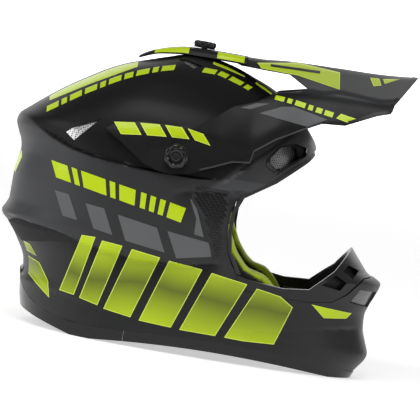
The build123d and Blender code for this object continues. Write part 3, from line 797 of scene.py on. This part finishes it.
decals("peak_blocks", peak_solid, "peak", PEAK_GREY, grey_ink, 40, 0.2)
decals("peak_dashes", peak_solid, "peak", PEAK_DASHES, lime_flat, 40, 0.2)

# ---- CAD pieces that stay, in their own finishes ---------------------------------------------------
FINISHES = {
    "neck_roll": gloss_black,
    "lower_edge_trim": gloss_black,
    "eyeport_gasket": soft_black,
    "mouth_vent_frame": satin_black,
    "mouth_vent_filter": foam,
    "eps_crown_liner": foam,
    "eps_chin_liner": foam,
    "centre_insert": steel,
    "centre_washer": soft_black,
    "d_ring_inner": steel,
    "d_ring_outer": steel,
    "strap_snap": screw_black,
}
PAIRS = {
    "cheek_pad_base": foam,
    "crown_side_mesh": punched,
    "crown_top_mesh": punched,
    # painted shade: the chin vent's sheet is the darkened copy of the punched metal
    "chin_vent_mesh": shade_painted,
    "brow_vent_mesh": punched,
    "brow_vent_duct": satin_black,
    "peak_insert": steel,
    "peak_washer": soft_black,
    "strap_plate": steel,
    "strap_rivet": steel,
}
for stem, mat in PAIRS.items():
    for side in SIDES:
        FINISHES[stem + "_" + side] = mat
for name, mat in FINISHES.items():
    if not nodes[name].material_slots:
        nodes[name].data.materials.append(mat)
    for slot in nodes[name].material_slots:
        slot.material = mat

# ---- thumb screws ----------------------------------------------------------------------------------
KNOB = (  # radius, height above the seat, share of the flutes' depth
    (3.0, -8, 0), (3.0, -0.2, 0), (10.6, -0.2, 0), (10.8, 1.2, 0), (10.6, 1.6, 1), (11.4, 2.4, 1),
    (11.5, 4.8, 1), (10.9, 6.2, 1), (9.6, 7.0, 0.7), (8.0, 7.2, 0.2), (7.0, 6.6, 0), (6.4, 5.2, 0),
    (4.6, 5.0, 0), (4.2, 6.2, 0), (3.2, 6.6, 0), (2.7, 6.5, 0), (2.4, 4.6, 0),
)  # fmt: skip
FLUTES, FLUTE_DEPTH = 7, 1.5
SHAFT_LIMIT = 3.1  # rings narrower than this keep their radius


def thumb_screw(node, body, centre, axis, grow, tall):
    """A fluted knob with a dished face and a central boss, on its plain shaft."""
    count, faces = 120, []
    turn = Vector((0, 0, 1)).rotation_difference(Vector(axis))
    verts = [Vector((0, 0, KNOB[0][1]))]
    for radius, height, fluted in KNOB:
        for k in range(count):
            angle = 2 * math.pi * k / count
            flute = fluted * FLUTE_DEPTH * (0.5 - 0.5 * math.cos(FLUTES * angle)) ** 2.2
            reach = radius * (grow if radius > SHAFT_LIMIT else 1) - flute
            rise = height * (tall if height > 0 else 1)
            verts.append(Vector((reach * math.cos(angle), reach * math.sin(angle), rise)))
    verts.append(Vector((0, 0, KNOB[-1][1] * tall)))
    for r in range(len(KNOB) - 1):
        for k in range(count):
            a, b = 1 + r * count + k, 1 + r * count + (k + 1) % count
            faces.append((a, b, b + count, a + count))
    top = 1 + (len(KNOB) - 1) * count
    for k in range(count):
        faces.append((0, 1 + (k + 1) % count, 1 + k))
        faces.append((len(verts) - 1, top + k, top + (k + 1) % count))
    placed = [tuple(turn @ v + Vector(centre)) for v in verts]
    knob = make(node + "_knob", np.array(placed) * MM, faces)
    outward(knob)
    dress(finish_mesh(knob, 35), screw_black)
    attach(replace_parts(knob, node), body)


for side, y in zip(SIDES, (-1, 1)):
    seat = (PIVOT_X, y * SCREW_SEAT_Y, PIVOT_Z)
    thumb_screw("peak_screw_" + side, "screw_" + side, seat, (0, y, 0), 1.0, 1.04)
thumb_screw("centre_screw", "screw_centre", (CENTRE_X, 0, CENTRE_SEAT_Z), (0, 0, 1), 0.95, 0.92)

# ---- side grips ------------------------------------------------------------------------------------
GRIP = ((-9, 160), (27, 158), (31, 142), (30, 123), (33, 95), (25, 91), (16, 112), (6, 132), (-4, 144))


def inside(point, outline):
    """Whether an (x, z) point lies within an outline."""
    hits = False
    for a, b in zip(outline, (*outline[1:], outline[0])):
        if (a[1] > point[1]) != (b[1] > point[1]):
            if point[0] < (b[0] - a[0]) * (point[1] - a[1]) / (b[1] - a[1]) + a[0]:
                hits = not hits
    return hits


GRIP_FOOT, BRICK_PITCH, BRICK_RISE = 94, 4.6, 2.6
field = inset_outline(GRIP, 1.0)
bricks = []
for row in range(26):
    z = GRIP_FOOT + row * BRICK_RISE
    for column in range(12):
        x = -10 + column * BRICK_PITCH + (BRICK_PITCH / 2 if row % 2 else 0) - (z - GRIP_FOOT) * 0.03
        brick = ((x, z), (x + 3.7, z - 0.3), (x + 3.4, z + 1.3), (x - 0.3, z + 1.6))
        if all(inside(corner, field) for corner in brick):
            bricks.append(brick)
grip = decals("grip_base", shell_solid, "helmet", (GRIP,), soft_black, 60, 0.5)
for side in SIDES:
    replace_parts(grip, "side_grip_panel_" + side)
decals("grip_ridges", shell_solid, "helmet", bricks, gloss_black, 60, 1.1)

# ---- padding -------------------------------------------------------------------------------------
VOXEL = 0.005  # metres
PAD_EASE = 0.0014  # metres that the cloth starts inside the CAD pad's face
SWELL_STEPS = 20


def puffed(node, name, cap, mat):
    """A sewn pad: the CAD solid's room, remeshed, swelled by cloth pressure with its movement capped."""
    source = nodes[node]
    pad = bpy.data.objects.new(name, source.data.copy())
    scene.collection.objects.link(pad)
    remesh = pad.modifiers.new("remesh", "REMESH")
    remesh.mode, remesh.voxel_size = "VOXEL", VOXEL
    bake(pad)
    mesh = pad.data
    start = np.array([v.co - v.normal * PAD_EASE for v in mesh.vertices])
    mesh.vertices.foreach_set("co", start.ravel())
    cloth = pad.modifiers.new("swell", "CLOTH")
    cloth.settings.use_pressure = True
    cloth.settings.uniform_pressure_force = 4.0
    cloth.settings.effector_weights.gravity = 0.0
    cloth.settings.quality = 5
    cloth.collision_settings.use_collision = False
    for step in range(1, SWELL_STEPS + 1):
        scene.frame_set(step)
    bake(pad)
    scene.frame_set(1)
    co = np.array([v.co for v in pad.data.vertices])
    if len(co) == len(start):
        move = co - start
        size = np.linalg.norm(move, axis=1, keepdims=True)
        co = start + move * np.minimum(1, cap * MM / np.maximum(size, 1e-9))
        pad.data.vertices.foreach_set("co", co.ravel())
    smoother = pad.modifiers.new("smooth", "SUBSURF")
    smoother.levels = smoother.render_levels = 1
    bake(pad)
    pad.data.shade_smooth()
    dress(pad, mat)
    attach(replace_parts(pad, node), "helmet")
    return pad


def distance_from(line, at):
    """Distances of (x, z) points from a line of such points."""
    near = np.full(len(at), 1e9)
    for a, b in zip(line, line[1:]):
        a, b = np.array(a, float), np.array(b, float)
        t = np.clip(((at - a) @ (b - a)) / ((b - a) @ (b - a)), 0, 1)
        near = np.minimum(near, np.linalg.norm(at - (a + t[:, None] * (b - a)), axis=1))
    return near


# the cheek pads' fabric carries a lime binding along its front edge
bound = material("bound_fabric", CLOTH_BLACK, 0.85, bump=0.6, scale=900.0, sheen=0.3, pattern="cells")
bound_fabric = by_tone(bound, CLOTH_BLACK, LIME)
BINDING = ((31, 139), (36, 124), (44, 107), (57, 93), (76, 85), (94, 66))
puffed("crown_comfort_pad", "comfort_liner", 2.0, fabric)
for side in SIDES:
    pad = puffed("cheek_pad_" + side, "cheek_cushion_" + side, 2.5, bound_fabric)
    set_tone(pad, 1 - ease(distance_from(BINDING, coordinates(pad)[:, [0, 2]]), 4.6, 6.8))


# ---- straps --------------------------------------------------------------------------------------
WEB_HALF = (  # across the webbing, half its thickness
    (-12.4, 0.5), (-12.0, 0.95), (-10.6, 0.95), (-10.2, 0.75), (0, 0.8), (10.2, 0.75), (10.6, 0.95),
    (12.0, 0.95), (12.4, 0.5),
)  # fmt: skip
WEB_STEP = 1.5


def rounded(route, radius):
    """A (y, z) route with its corners rounded, in even steps, and how far along it each step is."""
    pts = []
    for k, here in enumerate(route):
        here = np.array(here, float)
        if k in (0, len(route) - 1):
            pts.append(here)
            continue
        back, ahead = np.array(route[k - 1], float) - here, np.array(route[k + 1], float) - here
        reach = min(radius, np.linalg.norm(back) * 0.45, np.linalg.norm(ahead) * 0.45)
        p0, p2 = here + back / np.linalg.norm(back) * reach, here + ahead / np.linalg.norm(ahead) * reach
        for t in np.linspace(0, 1, 9):
            pts.append((1 - t) ** 2 * p0 + 2 * t * (1 - t) * here + t * t * p2)
    path = np.array(pts)
    length = np.r_[0, np.cumsum(np.hypot(*np.diff(path, axis=0).T))]
    at = np.arange(0, length[-1], WEB_STEP)
    return np.stack([np.interp(at, length, path[:, 0]), np.interp(at, length, path[:, 1])], -1), at


def strap(name, route, radius, body, node):
    """Woven strap, 25 mm wide, with thicker selvedges and a fine ripple, along a rounded route."""
    path, at = rounded(route, radius)
    tangent = np.gradient(path, axis=0)
    tangent /= np.linalg.norm(tangent, axis=1, keepdims=True)
    normal = np.stack([-tangent[:, 1], tangent[:, 0]], -1)
    section = [*WEB_HALF, *[(x, -h) for x, h in reversed(WEB_HALF)]]
    verts, faces, m = [], [], len(section)
    for (y, z), (ny, nz), run in zip(path, normal, at):
        ripple = 0.12 * math.sin(run * 0.9)
        for x, h in section:
            verts.append((STRAP_X + x, y + ny * (h + ripple), z + nz * (h + ripple)))
    for r in range(len(path) - 1):
        for k in range(m):
            after = (k + 1) % m
            faces.append((r * m + k, r * m + after, (r + 1) * m + after, (r + 1) * m + k))
    faces.append(tuple(range(m))[::-1])
    faces.append(tuple((len(path) - 1) * m + k for k in range(m)))
    obj = make(name, np.array(verts) * MM, faces)
    outward(obj)
    dress(finish_mesh(obj, 50), webbing)
    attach(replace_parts(obj, node), body)


LONG_ROUTE = ((-100.2, 74), (-94.6, 74), (-78, 2.5), (33.5, 2.5))
SHORT_ROUTE = (  # down to the rings, round both, and back up on itself
    (100.2, 74), (94.6, 74), (82, 48), (80, 43.3), (74.4, 42.8), (74.4, 37.2), (85.6, 37.2), (85.6, 42.8),
    (81.5, 43.2),
)  # fmt: skip
strap("strap_long_web", LONG_ROUTE, 8, "strap_long", "chin_strap_long")
strap("strap_short_web", SHORT_ROUTE, 3, "strap_short", "chin_strap_short")

# ---- stage, light and camera ---------------------------------------------------------------------
def glowing(name, strength):
    """A pale matt surface with a little light of its own, so that it reads as an even studio white."""
    mat = material(name, (0.9, 0.9, 0.9), 0.8, bump=0.05, scale=60.0, spread=0.01)
    shader = mat.node_tree.nodes["Principled BSDF"]
    shader.inputs["Emission Color"].default_value = (1, 1, 1, 1)
    shader.inputs["Emission Strength"].default_value = strength
    return mat


floor = make("floor", [(-7, -6, 0), (7, -6, 0), (7, 8.1, 0), (-7, 8.1, 0)], [(0, 1, 2, 3)])
dress(floor, glowing("pale_floor", 0.55))
backdrop = make("backdrop", [(-7, 8, -0.1), (7, 8, -0.1), (7, 8, 6), (-7, 8, 6)], [(0, 1, 2, 3)])
dress(backdrop, glowing("pale_backdrop", 0.95))

world = bpy.data.worlds.new("studio")
world.use_nodes = True
sky = world.node_tree.nodes["Background"]
sky.inputs["Color"].default_value = (1, 1, 1, 1)
sky.inputs["Strength"].default_value = 0.24
scene.world = world


def soft_light(name, place, aim, size, power):
    """A rectangular lamp at place that faces aim."""
    lamp = bpy.data.lights.new(name, "AREA")
    lamp.shape, lamp.size, lamp.size_y, lamp.energy = "RECTANGLE", size[0], size[1], power
    obj = bpy.data.objects.new(name, lamp)
    obj.location = place
    obj.rotation_mode = "QUATERNION"
    obj.rotation_quaternion = (Vector(aim) - Vector(place)).to_track_quat("-Z", "Y")
    scene.collection.objects.link(obj)


soft_light("key", (-0.3, -1.0, 1.6), (0, 0, 0.15), (1.1, 0.7), 12)
soft_light("rear_side", (-1.5, -0.6, 0.7), (-0.1, 0, 0.15), (0.35, 0.9), 5)
soft_light("front_side", (1.4, -0.9, 0.5), (0.1, 0, 0.12), (0.35, 0.8), 3)

DISTANCE = 3.4
AZIMUTH, ELEVATION, ROLL = math.radians(1.1), math.radians(3.0), math.radians(10.1)
SPAN = 0.399  # width seen at the aim
SENSOR = 36
aim = Vector((0.0112, 0, 0.1328))
level = math.cos(ELEVATION)
back = Vector((math.sin(AZIMUTH) * level, -math.cos(AZIMUTH) * level, math.sin(ELEVATION)))
lens = bpy.data.cameras.new("camera")
lens.sensor_width = SENSOR
lens.lens = SENSOR * DISTANCE / SPAN
lens.clip_end = 50
camera = bpy.data.objects.new("camera", lens)
camera.location = aim + back * DISTANCE
camera.rotation_mode = "QUATERNION"
camera.rotation_quaternion = (-back).to_track_quat("-Z", "Y") @ Quaternion((0, 0, 1), ROLL)
scene.collection.objects.link(camera)
scene.camera = camera
scene.view_settings.view_transform = "Standard"
